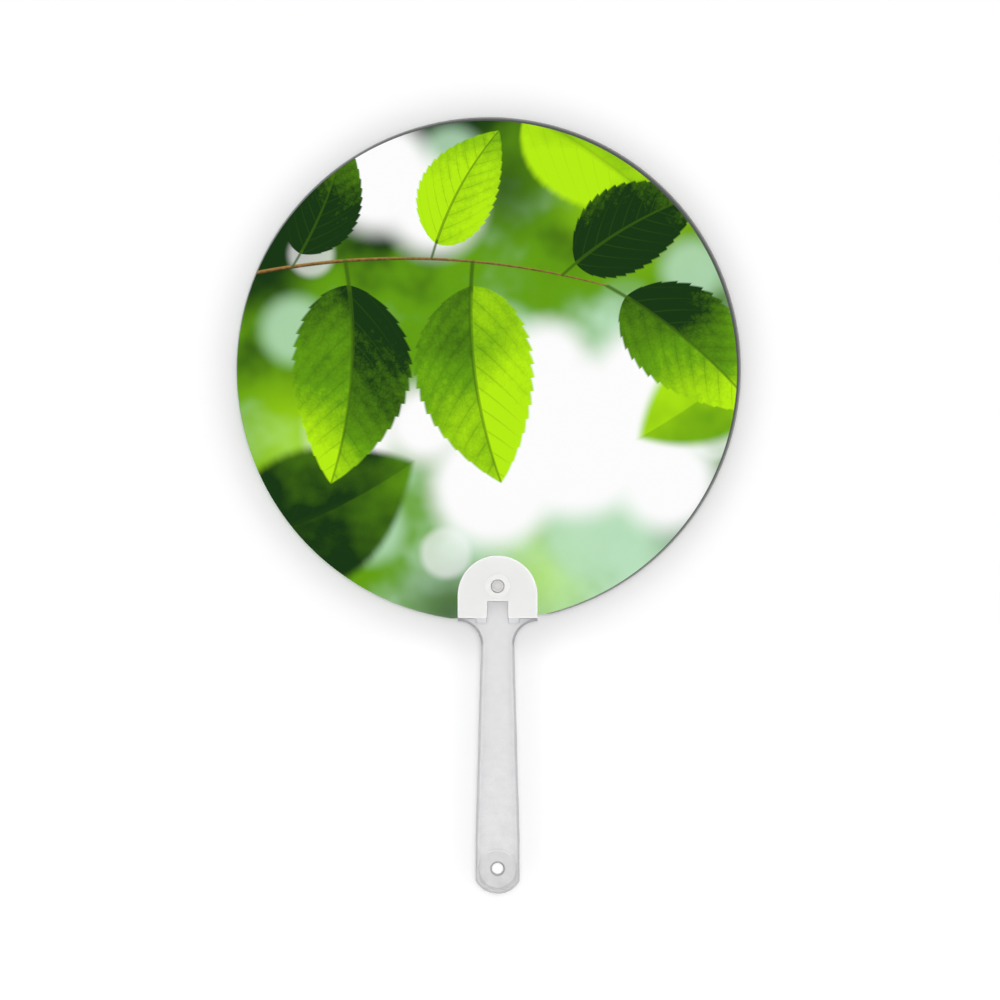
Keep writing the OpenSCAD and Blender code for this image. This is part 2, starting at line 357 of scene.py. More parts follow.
class Skin:
    """Gathers the grids and level faces of one piece, and joins them into one closed mesh."""

    def __init__(self):
        self.points = []
        self.faces = []
        self.count = 0

    def add(self, points, faces):
        """Takes in points, and faces that name them by their places among these points."""
        self.points.append(points)
        self.faces += (faces + self.count).tolist()
        self.count += len(points)

    def grid(self, rows, closed=False, keep=None):
        """Faces between each four neighbours of a grid of points."""
        height, width = rows.shape[:2]
        index = np.arange(height * width).reshape(height, width)
        if closed:
            index = np.concatenate([index, index[:, :1]], axis=1)
        quads = np.stack([index[:-1, :-1], index[:-1, 1:], index[1:, 1:], index[1:, :-1]], axis=-1)
        self.add(rows.reshape(-1, 3), quads.reshape(-1, 4) if keep is None else quads[keep])

    def level(self, height, *loops):
        """A level face inside the first loop and outside the others, cut into triangles."""
        loops = [loop[np.linalg.norm(loop - np.roll(loop, 1, axis=0), axis=1) > WELD_DISTANCE]
                 for loop in loops]
        firsts = np.cumsum([0, *map(len, loops[:-1])])
        sides = [np.stack([np.arange(len(loop)), np.roll(np.arange(len(loop)), -1)], axis=1) + first
                 for first, loop in zip(firsts, loops)]
        corners = (np.concatenate(loops) / MM).tolist()
        sides = np.concatenate(sides).tolist()
        points, _, faces = geometry.delaunay_2d_cdt(corners, sides, [], 1, 1e-5, False)[:3]
        points = np.array([tuple(point) for point in points]) * MM
        faces = np.array(faces)
        faces = faces[inside(points[faces].mean(axis=1), loops)]
        self.add(np.insert(points, 2, height, axis=1), faces)

    def piece(self, name, material):
        """Makes the object: doubles are merged and the closed surface is turned outwards."""
        mesh = bpy.data.meshes.new(name)
        mesh.from_pydata((np.concatenate(self.points) + PEG).tolist(), [], self.faces)
        work = bmesh.new()
        work.from_mesh(mesh)
        bmesh.ops.remove_doubles(work, verts=work.verts, dist=WELD_DISTANCE)
        bmesh.ops.dissolve_degenerate(work, edges=work.edges, dist=WELD_DISTANCE)
        loose = [edge for edge in work.edges if not edge.link_faces]
        bmesh.ops.delete(work, geom=loose, context="EDGES")
        bmesh.ops.recalc_face_normals(work, faces=work.faces)
        open_edges = sum(not edge.is_manifold for edge in work.edges)
        work.to_mesh(mesh)
        work.free()
        if open_edges:
            raise RuntimeError(f"{name}: {open_edges} edges don't join two faces")
        mesh.shade_smooth()
        mesh.set_sharp_from_angle(angle=SHARP_ANGLE)
        mesh.materials.append(material)
        piece = bpy.data.objects.new(name, mesh)
        bpy.context.scene.collection.objects.link(piece)
        return piece


# Outlines of the moulding

def shoulder_centre(sizes):
    """The centre of the quarter circle from the head's right corner down into the neck.

    It lies under the corner, by the head's radius less half the neck.
    """
    corner_y = FLAP_LOW[1] - sizes.corner_drop
    return np.array([HEAD_RADIUS, corner_y - (HEAD_RADIUS - sizes.neck_width / 2)])


def shoulder_side(sizes, step_y, inset):
    """The shoulder's edge, or its inner edge, from the step down to just above the neck.

    The edge drops straight to the quarter circle. The inner edge is a wider arc about the same
    centre, which starts where its height is the step's.
    """
    centre = shoulder_centre(sizes)
    radius = HEAD_RADIUS - sizes.neck_width / 2 + inset
    if inset:
        start = 180 - math.degrees(math.asin((step_y - centre[1]) / radius))
        return arc(centre, radius, start, 180, SHOULDER_POINTS)[:-1]
    drop = np.linspace((HEAD_RADIUS, step_y), centre + (0, radius), 5)[:-1]
    return np.concatenate([drop, arc(centre, radius, 90, 180, SHOULDER_POINTS - len(drop))[:-1]])


def stem_side(sizes, inset):
    """The right side of the stem, drawn in by an inset, from the neck down to the end's middle.

    It widens along a straight line, runs on parallel, and ends in an arc about the hang hole.
    """
    low = sizes.stem_width / 2 - inset
    end_radius = HOLE_CENTRE[1] - HANDLE_LOW[1] - inset
    side_end = math.degrees(math.acos(low / end_radius))
    neck = (sizes.neck_width / 2 - inset, shoulder_centre(sizes)[1])
    straight = [neck, (low, HOLE_CENTRE[1] + sizes.parallel_length)]
    return np.concatenate([straight, arc(HOLE_CENTRE, end_radius, -side_end, -90, 32)])


def handle_skin(sizes):
    """The moulding: profiles carried round its outline and its panels, and level faces between."""
    skin = Skin()
    top, panel, pocket = HANDLE_HIGH[2], WEB_HIGH[2], FLAP_LOW[2]
    plate, edge, small = sizes.plate_thickness, sizes.edge_round, sizes.small_round
    recess = top - panel
    step_y = FLAP_LOW[1] - sizes.hinge_gap

    # The outer wall of the shoulders and the stem, with the rim on it
    outer, inner = (
        with_mirror(shoulder_side(sizes, step_y, inset), stem_side(sizes, inset))
        for inset in (0, sizes.rim_width))
    across = inner - outer
    across /= np.linalg.norm(across, axis=1, keepdims=True)
    foot = profile((edge + SUPPORT, 0), (0, 0, edge), (0, plate, 0), (0, pocket))
    crest = profile((0, pocket), (0, top, edge), (edge + SUPPORT, top))[1:]
    lip = profile((small + SUPPORT, top), (0, top, small), (0, panel))
    rows = np.concatenate([
        carried(outer, across, foot), carried(outer, across, crest), carried(inner, -across, lip)])
    rise = smooth((step_y - rows[..., 1]) / sizes.rim_rise)
    above = np.maximum(rows[..., 2] - panel, 0)
    rows[..., 2] = np.minimum(rows[..., 2], panel) + above * rise
    skin.grid(rows)

    # The outer wall of the rear head plate, whose upper rounding fades out at the step
    side_y = np.linspace(step_y, HEAD_CENTRE[1], 12)[:-1]
    side = np.stack([np.full(len(side_y), HEAD_RADIUS), side_y], axis=1)
    head = with_mirror(side, arc(HEAD_CENTRE, HEAD_RADIUS, 0, 90, 48))
    level_in = np.stack([-np.sign(head[:, 0]), np.zeros(len(head))], axis=1)
    round_in = (HEAD_CENTRE - head) / HEAD_RADIUS
    head_in = np.where(head[:, 1:] > HEAD_CENTRE[1], round_in, level_in)
    fade = smooth((head[:, 1] - step_y) / sizes.rim_rise)
    ledge = profile((0, edge), (0, plate, small), (small + SUPPORT, plate))[1:]
    head_rows = np.concatenate([
        carried(head, head_in, foot[:-2]), carried(head, head_in, ledge, fade, plate)])
    skin.grid(head_rows)

    # The step from the head plate up to the shoulders, and the tongue that stands out of it
    crest_line = rows[len(foot):-1, 0, :2]
    half, tongue_y = sizes.tongue_width / 2, -sizes.tongue_top
    web_x = np.array([WEB_HIGH[0] + sizes.web_gap, WEB_LOW[0] - sizes.web_gap])
    tongue = [(half, step_y), (half, tongue_y), (0, tongue_y)]
    step = with_mirror(crest_line, [(x, step_y) for x in web_x], tongue)
    keep = np.ones((2, len(step) - 1), bool)
    keep[1, [len(crest_line), -1 - len(crest_line)]] = False
    skin.grid(carried(step, step, [(0, plate), (0, pocket), (0, panel)]), keep=keep)

    # The pockets under the hinge webs
    well = np.array([(web_x[0], step_y), (web_x[0], WEB_LOW[1]),
                     (web_x[1], WEB_LOW[1]), (web_x[1], step_y)])
    for side in (well, well * (-1, 1)):
        skin.grid(carried(side, side, [(0, pocket), (0, panel)]))
        skin.level(pocket, side)

    # The peg
    peg, peg_tip = sizes.peg_diameter / 2, sizes.peg_tip_diameter / 2
    tip = FLAP_HIGH[2] - sizes.peg_sunk
    peg_shape = profile(
        (peg, plate), (peg, tip - sizes.peg_cone, small), (peg_tip, tip, small), (0, tip))
    skin.grid(turned((0, 0), peg_shape, PEG_POINTS), closed=True)

    # The pads round the hang hole, and the hole through them
    pad, mouth = sizes.pad_diameter / 2, sizes.mouth_diameter / 2
    face = panel + sizes.pad_height
    half_bore = profile(
        (pad, panel), (pad, face, small), (mouth, face, small / 2),
        (HOLE_RADIUS, face - sizes.mouth_depth, small), (HOLE_RADIUS, top / 2))
    bore = np.concatenate([half_bore, half_bore[-2::-1] * (1, -1) + (0, top)])
    skin.grid(turned(HOLE_CENTRE, bore, HOLE_POINTS), closed=True)

    # The wall of the rear panel, which has a round top in the neck
    neck = (0, shoulder_centre(sizes)[1])
    round_top = arc(neck, sizes.neck_width / 2 - sizes.rim_width, 90, 0, 24)[:-1]
    rear = with_mirror(round_top, stem_side(sizes, sizes.rim_width))[-2::-1]
    rear_lip = profile((-small - SUPPORT, 0), (0, 0, small), (0, recess))
    rear_rows = carried(rear, inward(rear), rear_lip)
    skin.grid(rear_rows, closed=True)

    # Level faces: the underside, the floors of both panels, and the top of the head plate
    pad_edge = ring(HOLE_CENTRE, pad, HOLE_POINTS)
    skin.level(0, np.concatenate([head_rows[0, :, :2], rows[0, ::-1, :2]]), rear_rows[0, :, :2])
    skin.level(recess, rear, pad_edge)
    skin.level(panel, np.concatenate([inner, with_mirror(well, tongue)[::-1]]), pad_edge)
    plate_edge = np.concatenate([head_rows[-1, :, :2], step[::-1]])
    skin.level(plate, plate_edge, ring((0, 0), peg, PEG_POINTS))
    return skin


def web_skin(sizes, side):
    """A hinge web: a rounded strip whose underside thins by a squared sine along its length."""
    low, high = WEB_LOW * (side, 1, 1), WEB_HIGH * (side, 1, 1)
    corners = np.array([(low[0], low[2]), (high[0], low[2]), (high[0], high[2]), (low[0], high[2])])
    section = fillets(np.concatenate([corners[-1:], corners, corners[:1]]), sizes.small_round)
    part = np.linspace(0, 1, 25)[:, None]
    thickness = high[2] - low[2]
    thin = 1 - sizes.web_thinning / thickness * np.sin(math.pi * part) ** 2
    width = np.broadcast_to(section[:, 0], (len(part), len(section)))
    along = np.broadcast_to(low[1] + (high[1] - low[1]) * part, width.shape)
    rows = np.stack([width, along, high[2] - (high[2] - section[:, 1]) * thin], axis=2)
    skin = Skin()
    skin.grid(rows, closed=True)
    for end in (rows[0], rows[-1]):
        skin.add(end, np.arange(len(end))[None])
    return skin


def flap_skin(sizes):
    """The flap: one profile round its edge, one round its hole, and level faces between."""
    skin = Skin()
    under, crown = FLAP_LOW[2], FLAP_HIGH[2]
    face = crown - sizes.ring_height
    low, notch_x, notch_y = FLAP_LOW[1], sizes.notch_width / 2, -sizes.notch_top
    right = np.array([(0, notch_y), (notch_x, notch_y), (notch_x, low), (HEAD_RADIUS, low),
                      (HEAD_RADIUS, HEAD_CENTRE[1])])
    corners = np.concatenate([right[:0:-1] * (-1, 1), right[1:]])
    round_top = arc(HEAD_CENTRE, HEAD_RADIUS, 0, 180, 121)
    edge_line = np.concatenate([fillets(corners, sizes.corner_round), round_top])
    to_side = (np.abs(edge_line[:, 0]) - HEAD_RADIUS) / sizes.corner_round + 1
    on_round = edge_line[:, 1] >= HEAD_CENTRE[1]
    least = sizes.lower_round / sizes.edge_round
    scale = np.where(on_round, 1, least + (1 - least) * smooth(to_side))

    small, edge = sizes.small_round, sizes.edge_round
    foot = profile((small + SUPPORT, under), (0, under, small), (0, face))[:-1]
    crest = profile((0, under), (0, face, edge), (edge + SUPPORT, face))[1:]
    direction = inward(edge_line)
    rows = np.concatenate([
        carried(edge_line, direction, foot), carried(edge_line, direction, crest, scale, face)])
    skin.grid(rows, closed=True)

    hole, collar = sizes.hole_diameter / 2, sizes.ring_diameter / 2
    bore = profile(
        (collar + small + SUPPORT, face), (collar, face, small), (collar - small, crown, small),
        (hole, crown, small), (hole, under, small), (hole + small + SUPPORT, under))
    bore_rows = turned((0, 0), bore, HOLE_POINTS)
    skin.grid(bore_rows, closed=True)
    skin.level(under, rows[0, :, :2], bore_rows[-1, :, :2])
    skin.level(face, rows[-1, :, :2], bore_rows[0, :, :2])
    return skin


# The blade

def blade_outline(sizes, centre, radius):
    """A disc with a flat and a notch below, all turned by the lean about the peg."""
    turn = np.array([[math.cos(LEAN), math.sin(LEAN)], [-math.sin(LEAN), math.cos(LEAN)]])
    centre = turn @ centre
    flat_y, notch_y, notch_x = -sizes.flat_reach, -sizes.notch_top, sizes.notch_width / 2
    start = math.degrees(math.asin((flat_y - centre[1]) / radius))
    disc = arc(centre, radius, start, 180 - start, 361)
    notch = [(-notch_x, flat_y), (-notch_x, notch_y), (notch_x, notch_y), (notch_x, flat_y)]
    cut = fillets(np.array([disc[-1], *notch, disc[0]]), sizes.corner_round)
    return np.concatenate([disc, cut]) @ turn


def layer_skin(sizes, node, edge_round):
    """One layer of the blade, filling its node's box, with a profile round its edge and its hole."""
    skin = Skin()
    low, high = box_from_peg(node)
    under, over = low[2], high[2]
    outline = blade_outline(sizes, *disc_of(low, high))
    edge = profile(
        (edge_round + SUPPORT, under), (0, under, edge_round), (0, over, edge_round),
        (edge_round + SUPPORT, over))
    rows = carried(outline, inward(outline), edge)
    skin.grid(rows, closed=True)
    hole = sizes.hole_diameter / 2
    hole_rows = turned((0, 0), [(hole, under), (hole, over)], PEG_POINTS)
    skin.grid(hole_rows, closed=True)
    skin.level(under, rows[0, :, :2], hole_rows[0, :, :2])
    skin.level(over, rows[-1, :, :2], hole_rows[-1, :, :2])
    return skin


# Materials

WHITE = (1, 1, 1)


class Value:
    """A socket that Python expressions can use. Each operator adds a Math or Vector Math node."""

    def __init__(self, paint, socket):
        self.paint = paint
        self.socket = socket

    def __add__(self, other):
        return self.paint.math("ADD", self, other)

    def __radd__(self, other):
        return self.paint.math("ADD", other, self)

    def __sub__(self, other):
        return self.paint.math("SUBTRACT", self, other)

    def __rsub__(self, other):
        return self.paint.math("SUBTRACT", other, self)

    def __mul__(self, other):
        return self.paint.math("MULTIPLY", self, other)

    def __rmul__(self, other):
        return self.paint.math("MULTIPLY", other, self)

    def __truediv__(self, other):
        return self.paint.math("DIVIDE", self, other)

    def __pow__(self, other):
        return self.paint.math("POWER", self, other)

    def __abs__(self):
        return self.paint.math("ABSOLUTE", self)


class Nodes:
    """Adds nodes to one tree."""

    def __init__(self, tree):
        self.tree = tree
        self.tree.nodes.clear()

    def node(self, kind, settings=None, inputs=None, output=0):
        """Adds a node: its settings first, then the value or link of each socket, by name or place."""
        node = self.tree.nodes.new("ShaderNode" + kind)
        for name, setting in (settings or {}).items():
            setattr(node, name, setting)
        for name, value in (inputs or {}).items():
            if isinstance(value, Value):
                self.tree.links.new(value.socket, node.inputs[name])
            elif node.inputs[name].type == "RGBA":
                node.inputs[name].default_value = (*value[:3], 1)
            else:
                node.inputs[name].default_value = value
        if node.outputs:
            return Value(self, node.outputs[output])

    def math(self, operation, *values):
        """A Math node, or a Vector Math node where one of the values is a vector."""
        vectors = [type(v) is Value and v.socket.type == "VECTOR" for v in values]
        kind = "VectorMath" if any(vectors) else "Math"
        return self.node(kind, {"operation": operation}, dict(enumerate(values)))

    def lower(self, first, second):
        """The lower of two values."""
        return self.math("MINIMUM", first, second)

    def higher(self, first, second):
        """The higher of two values."""
        return self.math("MAXIMUM", first, second)

    def distance(self, first, second):
        """How far one point is from another."""
        return self.node("VectorMath", {"operation": "DISTANCE"}, {0: first, 1: second}, "Value")

    def from_axis(self, place, axis):
        """How far a place lies, in plan, from an upright axis."""
        return self.distance(place * (1, 1, 0), (*axis, 0))

    def parts(self, vector):
        """The X, Y and Z parts of a vector."""
        split = self.node("SeparateXYZ", inputs={0: vector}).socket.node
        return [Value(self, output) for output in split.outputs]

    def pick(self, mask, outside, inside):
        """One value where the mask is 0 and another where it is 1."""
        return self.node("Mix", {"data_type": "FLOAT"}, {0: mask, 2: outside, 3: inside})

    def shade(self, tint, level):
        """A colour made darker or lighter by a factor."""
        return self.node("VectorMath", {"operation": "SCALE"}, {0: tint, "Scale": level})

    def ramp(self, value, start, end, low=0.0, high=1.0, ease=False):
        """Carries a value from one range to another, and holds it at both ends."""
        kind = "SMOOTHSTEP" if ease else "LINEAR"
        return self.node("MapRange", {"interpolation_type": kind},
                         {0: value, 1: start, 2: end, 3: low, 4: high})

    def mix(self, factor, first, second, blend="MIX"):
        """Mixes two colours."""
        settings = {"data_type": "RGBA", "blend_type": blend}
        return self.node("Mix", settings, {0: factor, 6: first, 7: second}, 2)

    def noise(self, place, scale, detail=2.0, roughness=0.5):
        """A noise value around one half."""
        inputs = {"Vector": place, "Scale": scale, "Detail": detail, "Roughness": roughness}
        return self.node("TexNoise", inputs=inputs)

    def shown_rays(self):
        """1 for rays from the camera, in mirrors and through glass, and 0 for those that light."""
        rays = self.node("LightPath").socket.node.outputs
        seen, mirrored, passed = (
            Value(self, rays[name])
            for name in ("Is Camera Ray", "Is Glossy Ray", "Is Transmission Ray"))
        return self.higher(self.higher(seen, mirrored), passed)


class Paint(Nodes):
    """The nodes of one material."""

    def __init__(self, name):
        self.material = bpy.data.materials.new(name)
        self.material.use_nodes = True
        super().__init__(self.material.node_tree)

    def place(self, origin=PEG, turn=0.0, size=MM):
        """Object coordinates, as moved() gives them: millimetres from the peg if not told otherwise."""
        return self.moved(self.node("TexCoord", output="Object"), origin, turn, size)

    def moved(self, place, origin, turn, size):
        """Coordinates measured from an origin, turned back by an angle, over a size."""
        inputs = {0: place, "Location": (*origin[:2], 0), "Rotation": (0, 0, turn),
                  "Scale": (size, size, size)}
        return self.node("Mapping", {"vector_type": "TEXTURE"}, inputs)

    def bump(self, height, distance):
        """A normal from a height that is measured in the given distance."""
        return self.node("Bump", inputs={"Height": height, "Distance": distance, "Strength": 1.0})

    def finish(self, **sockets):
        """The surface itself, with its sockets named in lower case."""
        inputs = {name.replace("_", " ").title().replace("Ior", "IOR"): value
                  for name, value in sockets.items()}
        surface = self.node("BsdfPrincipled", inputs=inputs)
        self.node("OutputMaterial", inputs={"Surface": surface})
        return self.material


def frosted_plastic(colours, sizes):
    """Frosted plastic: grained panels and smooth pads, with painted shade and painted light in its
    hollows and at its edges.

    Each zone is a mask worked out from millimetres across and along the handle, from the peg. The
    blur is how far a mask takes to fade.
    """
    paint = Paint("frosted_plastic")
    place = paint.place()
    x, y, z = paint.parts(place)
    grain = paint.noise(place, 2.2, 3, 0.65)
    cloud = paint.noise(place, 0.35)
    blur = 0.08
    shoulder_x, neck_y = shoulder_centre(sizes) / MM
    hole_y = HOLE_CENTRE[1] / MM
    step_y = (FLAP_LOW[1] - sizes.hinge_gap) / MM
    parallel_y = hole_y + sizes.parallel_length / MM
    plate, neck_half, stem_half = (
        size / MM for size in (sizes.plate_thickness, sizes.neck_width / 2, sizes.stem_width / 2))

    # How far a point lies in from the edge: beside the neck, along the stem, or round its end
    from_hole = paint.from_axis(place, (0, hole_y))
    across_neck = paint.node("CombineXYZ", inputs={0: abs(x), 1: y})
    from_shoulder = paint.distance(across_neck, (shoulder_x, neck_y, 0))
    from_shoulder = from_shoulder - (HEAD_RADIUS / MM - neck_half)
    from_side = paint.ramp(y, neck_y, parallel_y, neck_half, stem_half) - abs(x)
    from_end = (HOLE_CENTRE[1] - HANDLE_LOW[1]) / MM - from_hole
    round_end = paint.pick(paint.ramp(y, hole_y + blur, hole_y), from_side,
                           paint.lower(from_side, from_end))
    from_edge = paint.pick(paint.ramp(y, neck_y, neck_y + blur), round_end, from_shoulder)

    # Painted shade: the rim darkens towards its outer edge, down the outer wall, and most along the
    # shoulders, as its rounded sides would in less light
    rim_width, crown = sizes.rim_width / MM, HANDLE_HIGH[2] / MM
    below_step = paint.ramp(y, step_y, step_y - blur)
    on_rim = paint.ramp(from_edge, rim_width + blur, rim_width - blur) * below_step
    rim = paint.mix(paint.ramp(from_edge, 0.2, rim_width), colours.rim, colours.crest)
    shoulder_shade = paint.ramp(y, neck_y - 1.5, neck_y + 1.5, ease=True)
    rim = paint.mix(shoulder_shade * paint.ramp(from_edge, rim_width, 0.5), rim, colours.shoulder)
    wall_shade = paint.ramp(from_edge, 0.12, 0.04) * paint.ramp(z, crown - 0.2, crown - 0.8)
    rim = paint.mix(wall_shade, rim, colours.wall)

    # The pads, the mouths of the hang hole, the tongue and the peg
    pad_radius, peg_radius = sizes.pad_diameter / 2 / MM, sizes.peg_diameter / 2 / MM
    on_pad = paint.higher(paint.ramp(from_hole, pad_radius + blur, pad_radius - blur),
                          paint.ramp(y, hole_y + 2, hole_y - 2, ease=True))
    from_bore = from_hole - HOLE_RADIUS / MM
    mouth_width = (sizes.mouth_diameter / 2 - HOLE_RADIUS) / MM
    # Painted shade in the cones at the hole's mouths, and painted light on the bore's walls, which are
    # drawn in the flap's white
    mouth_shade = paint.ramp(from_bore, mouth_width + 0.2, mouth_width - 0.2)
    bore_light = paint.ramp(from_bore, 0.1, 0.02)
    above_plate = paint.ramp(z, plate, plate + blur)
    # Painted shade: the tongue darkens towards its end, under the top of the flap's notch
    tongue_shade = paint.ramp(y, step_y, -sizes.tongue_top / MM, ease=True) * above_plate
    from_peg = paint.from_axis(place, (0, 0))
    on_peg = paint.ramp(from_peg, peg_radius + blur, peg_radius) * above_plate
    # Painted light: the peg's sunk cone lightens towards its edge, where the gap round it lies in shade
    peg = paint.mix(paint.ramp(from_peg, peg_radius - 0.7, peg_radius - 0.2), colours.peg, WHITE)

    # Painted light: the narrow walls of the hinge's gap are drawn white, so the gap shows lighter than
    # its shade
    gap_light = paint.ramp(abs(y - step_y), 0.6, 0.3)
    gap_light = gap_light * paint.ramp(z, WEB_HIGH[2] / MM, FLAP_LOW[2] / MM)
    base = colours.panel
    for mask, tint in (
            (on_pad, colours.pad), (mouth_shade, colours.mouth), (bore_light, colours.flap),
            (tongue_shade, colours.tongue), (on_peg, peg), (on_rim, rim), (gap_light, WHITE)):
        base = paint.mix(mask, base, tint)

    # The grain grows coarser down the stem, and leaves the rim and the pads smooth
    coarse = paint.ramp(y, neck_y, hole_y, 0.3, 1.0)
    height = (grain - 0.5) * coarse * (1 - on_pad) * (1 - on_rim)
    tone = paint.ramp(height + (cloud - 0.5) * coarse * 0.9, -0.3, 0.3, 0.93, 1.06)
    return paint.finish(
        base_color=paint.shade(base, tone), roughness=paint.ramp(height, -0.2, 0.2, 0.44, 0.56),
        specular_ior_level=0.3, subsurface_weight=1, subsurface_radius=(1, 1, 1),
        subsurface_scale=0.9 * MM, normal=paint.bump(height, 0.05 * MM))


def white_plastic(colours, sizes):
    """White plastic with faint flow marks, a fine bite in its gloss and painted shade on its outer
    walls.
    """
    paint = Paint("white_plastic")
    place = paint.place()
    cloud = paint.noise(place, 0.12)
    fine = paint.noise(place, 3.5)
    tone = paint.ramp(cloud * 0.7 + fine * 0.3, 0.3, 0.7, 0.985, 1.012)

    # The painted shade on the walls starts below the rounded edge, and leaves out the underside and the
    # peg's hole
    z = paint.parts(place)[2]
    under, face = FLAP_LOW[2] / MM, (FLAP_HIGH[2] - sizes.ring_height) / MM
    wall_shade = paint.ramp(z, under, under + 0.1) * paint.ramp(z, face - 0.05, face - 0.3)
    wall_shade = wall_shade * paint.ramp(paint.from_axis(place, (0, 0)), 4, 5)
    base = paint.mix(wall_shade, colours.flap, colours.rim)
    return paint.finish(
        base_color=paint.shade(base, tone), roughness=paint.ramp(fine, 0.3, 0.7, 0.4, 0.5),
        specular_ior_level=0.3, coat_weight=paint.ramp(cloud, 0.3, 0.7, 0.02, 0.1),
        subsurface_weight=1, subsurface_radius=(1, 1, 1), subsurface_scale=0.9 * MM,
        normal=paint.bump(fine, 0.01 * MM))


def grey_board(colours):
    """Pressed grey board with short flat fibres, paler towards its edge: its dark edge stands partly
    for the blade's cast shadow, and the paler tone is that shadow's painted soft edge.
    """
    paint = Paint("grey_board")
    place = paint.place()
    fibres = paint.noise(place * (1, 1, 6), 1.6, 4, 0.7)
    from_middle = paint.from_axis(place, BOARD_CENTRE / MM)
    # Painted shadow: the dark bare edge fades to a paler tone over the last millimetre, as a soft
    # shadow's edge
    shadow_edge = paint.ramp(from_middle, BOARD_RADIUS / MM - 1, BOARD_RADIUS / MM)
    tint = paint.mix(shadow_edge, colours.board, colours.shadow_fade)
    tone = paint.ramp(fibres, 0.3, 0.7, 0.86, 1.12)
    return paint.finish(
        base_color=paint.shade(tint, tone), roughness=0.85, specular_ior_level=0.1,
        normal=paint.bump(fibres, 0.03 * MM))


class Print(Paint):
    """A printed picture of leaves against the light, laid down from the back to the front.

    Places are shares of the sheet's radius, from its middle, with the peg below.
    """

    def __init__(self, name, colours, seed):
        super().__init__(name)
        self.sheet = self.place(PEG[:2] + SHEET_CENTRE, LEAN, SHEET_RADIUS) * (1, 1, 0)
        self.colours = colours
        self.cloud = self.noise(self.sheet + (seed, seed, seed), 2.2, 3)
        self.mottle = self.noise(self.sheet, 34, 3, 0.7)
        cells = {"Vector": self.sheet, "Scale": 42}
        net = self.node("TexVoronoi", {"feature": "DISTANCE_TO_EDGE"}, cells)
        self.net = self.ramp(net, 0, 0.12)

    def lay(self, mask, tint):
        """Lays a colour over the picture so far, where the mask is 1."""
        self.tint = self.mix(mask, self.tint, tint)

    def distance_haze(self, towards, spread, middle):
        """The blurred wood behind: dark to mint along one direction, stirred by a soft noise."""
        x, y, _ = self.parts(self.sheet)
        light = x * towards[0] + y * towards[1] + (self.cloud - 0.5) * spread + middle
        far = self.mix(self.ramp(light, 0.1, 0.45, ease=True), self.colours.deep, self.colours.leaf)
        self.tint = self.mix(self.ramp(light, 0.45, 0.85, ease=True), far, self.colours.mint)

    def discs(self, tint, strength, blur, *spots):
        """Discs of light, each a place and a radius, which fade at their edges over the blur."""
        for across, up, radius in spots:
            near = self.distance(self.sheet, (across, up, 0))
            self.lay(self.ramp(near, radius + blur, radius - blur, 0, strength, ease=True), tint)

    def along(self, base, heading, size, bend):
        """Places along and across a bent line, as shares of its length from its base.

        The line leaves its chord by the bend times the place along it times what is left of it.
        """
        local = self.moved(self.sheet, base, math.radians(heading), size)
        along, across, _ = self.parts(local)
        return along, across - along * (1 - along) * bend

    def reach(self, base, heading, size, along, across):
        """The place that a line from a base reaches, along it and across it in shares of its size."""
        turn = math.radians(heading)
        return (base[0] + size * (along * math.cos(turn) - across * math.sin(turn)),
                base[1] + size * (along * math.sin(turn) + across * math.cos(turn)))

    def branch(self, base, heading, size, bend, *leaves):
        """A twig that thins towards its end, lit along its upper side, and its leaves.

        Each leaf is a share of the twig's length, where its foot sits, and then its own values.
        """
        along, across = self.along(base, heading, size, bend)
        width, blur = 0.0065, 0.003 / size
        half = self.ramp(along, 0, 1, width, width * 0.45)
        mask = self.ramp(half - abs(across), 0, blur) * self.ramp(along, 0, blur)
        mask = mask * self.ramp(along, 1, 1 - blur)
        knots = self.noise(self.sheet, 60, 1)
        lit = self.ramp(across + (knots - 0.5) * width, -0.6 * width, 0.6 * width)
        self.lay(mask, self.mix(lit, self.colours.bark, self.colours.twig))
        for share, *values in leaves:
            foot = self.reach(base, heading, size, share, share * (1 - share) * bend)
            self.leaf(foot, *values)

    def leaf(self, foot, heading, size, lit=(0.2, 0.8), slope=0.0, bend=0.2, width=0.31,
             blur=0.006, stalk=0.12):
        """A pointed oval leaf with a toothed edge, a midrib, bent side veins and a stalk to its foot.

        Its half width is the width times u to the 0.6 times (1 - u) to the 0.9, over that curve's
        highest value, where u runs along the leaf. A saw wave cuts teeth into it. Side veins lie
        where u, less a rake that grows away from the midrib, passes whole steps. A leaf that is
        blurred enough has neither.
        """
        sharp = max(0.0, 1 - blur * 25)
        teeth, tooth, vein_pairs, curve_top = 15, 0.07, 9, 0.364
        base = self.reach(foot, heading, size, stalk, stalk * (1 + stalk) * bend)
        along, across = self.along(base, heading, size, bend)
        aside = abs(across)
        left = self.ramp(across, -0.004, 0.004)
        saw = self.math("FRACT", along * teeth + left * 0.5)
        curve = along ** 0.6 * self.higher(1 - along, 0) ** 0.9
        half = curve * (width / curve_top) * (saw * tooth * sharp + (1 - tooth * sharp))
        mask = self.ramp(half - aside, 0, 2 * blur, ease=blur > 0.02)

        # How much light comes through: by side, along the leaf, in clouds and between the veins
        raked = along - aside * 0.9 - aside * aside * 1.4
        step = self.math("FRACT", raked * vein_pairs + left * 0.5)
        ridge = abs(step - 0.5) * 2
        light = self.pick(left, lit[1], lit[0]) + (along - 0.5) * slope
        light = light + (self.cloud - 0.5) * 1.3 + (self.mottle - 0.5) * 0.3 * sharp
        light = light - ridge * 0.07 * sharp + self.net * 0.06 * sharp
        tint = self.mix(self.ramp(light, 0.05, 0.5), self.colours.deep, self.colours.leaf)
        tint = self.mix(self.ramp(light, 0.5, 0.95), tint, self.colours.lime)

